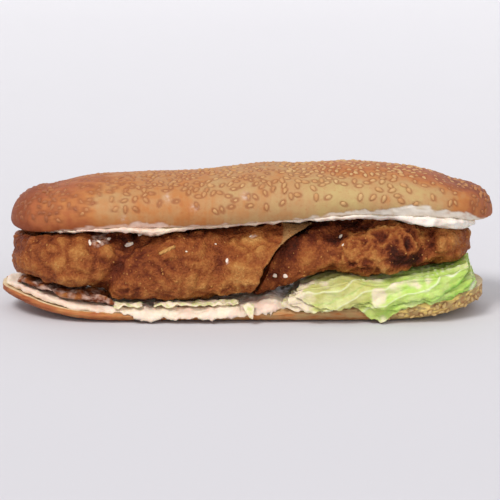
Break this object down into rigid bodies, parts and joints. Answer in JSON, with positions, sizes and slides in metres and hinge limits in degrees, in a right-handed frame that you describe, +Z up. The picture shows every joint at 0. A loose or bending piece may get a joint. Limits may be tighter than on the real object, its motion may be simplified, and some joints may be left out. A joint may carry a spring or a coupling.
{
  "type": "escalope sandwich",
  "caption": "Long sesame roll split level and filled with fried breaded chicken escalopes over crisp lettuce, with pale sauce under and over the filling.",
  "frame": {"origin": "middle of the whole sandwich seen from above, at the flat foot of the lower half of the roll", "axes": "+X along the roll, towards the end where the lettuce shows. -Y towards the open front side. +Z up"},
  "size_m": [0.2238, 0.0765, 0.0692],
  "materials": {
    "crust": "golden brown baked crust with sesame",
    "fried_coating": "craggy deep brown fried coating",
    "sauce": "pale glossy mayonnaise-like sauce",
    "lettuce": "crisp pale green leaf"
  },
  "bodies": {
    "root": {"bun_crown": "crust", "bun_heel": "crust", "escalope_front": "fried_coating", "escalope_rear": "fried_coating", "escalope_scrap": "fried_coating", "sauce_upper": "sauce", "sauce_lower": "sauce", "leaf_low": "lettuce", "leaf_middle": "lettuce", "leaf_top": "lettuce", "shred_long": "lettuce", "shred_short": "lettuce", "shred_tip": "lettuce"}
  },
  "joints": []
}
